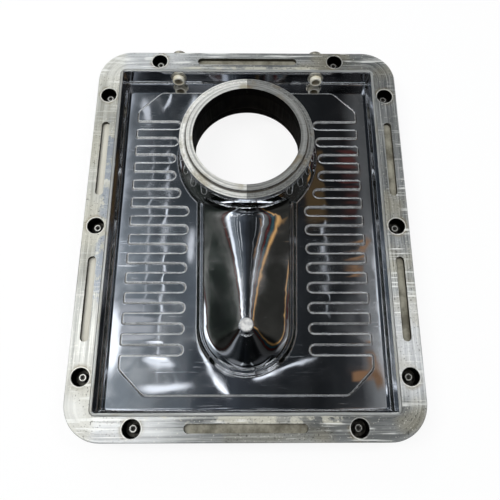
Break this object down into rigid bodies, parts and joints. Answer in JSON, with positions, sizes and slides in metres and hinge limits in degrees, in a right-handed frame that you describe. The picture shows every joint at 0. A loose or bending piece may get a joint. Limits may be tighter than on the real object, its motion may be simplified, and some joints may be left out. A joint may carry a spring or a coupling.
{
  "type": "rotomoulding mould",
  "caption": "Core half of a rotomoulding mould for a floor pan: screwed parting frame, mirror-polished ribbed tray, raised bowl core with pin, through collar and sliding vent tubes.",
  "frame": {"origin": "middle of the back face, which is the centre of the four tapped holes in it", "axes": "+Z out of the parting face, +Y towards the collar's end, X across the mould"},
  "size_m": [0.512, 0.6555, 0.098],
  "materials": {
    "frame_metal": "milled and brushed, scratched, with beige residue",
    "polished_shell": "mirror polished",
    "collar_left_metal": "ground, bright",
    "collar_right_metal": "ground, greyer",
    "black_screw_steel": "blackened",
    "pin_metal": "turned, matte",
    "nut_steel": "plain steel",
    "bush_metal": "turned",
    "vent_plastic": "matte off-white",
    "washer_steel": "plain steel, dulled"
  },
  "bodies": {
    "mould": {"parting_frame": "frame_metal", "mould_shell": "polished_shell", "collar_half_left": "collar_left_metal", "collar_half_right": "collar_right_metal", "collar_screws": "black_screw_steel", "bowl_pin": "pin_metal", "bowl_pin_nut": "nut_steel", "vent_bush_left": "bush_metal", "vent_bush_right": "bush_metal", "frame_screws": "black_screw_steel", "frame_washers": "washer_steel"},
    "left_vent": {"vent_tube_left": "vent_plastic"},
    "right_vent": {"vent_tube_right": "vent_plastic"}
  },
  "joints": [
    {"name": "left_vent_slide", "type": "slide", "parent": "mould", "child": "left_vent", "axis": [0, 1, 0], "range_m": [0, 0.05]},
    {"name": "right_vent_slide", "type": "slide", "parent": "mould", "child": "right_vent", "axis": [0, 1, 0], "range_m": [0, 0.05]}
  ]
}
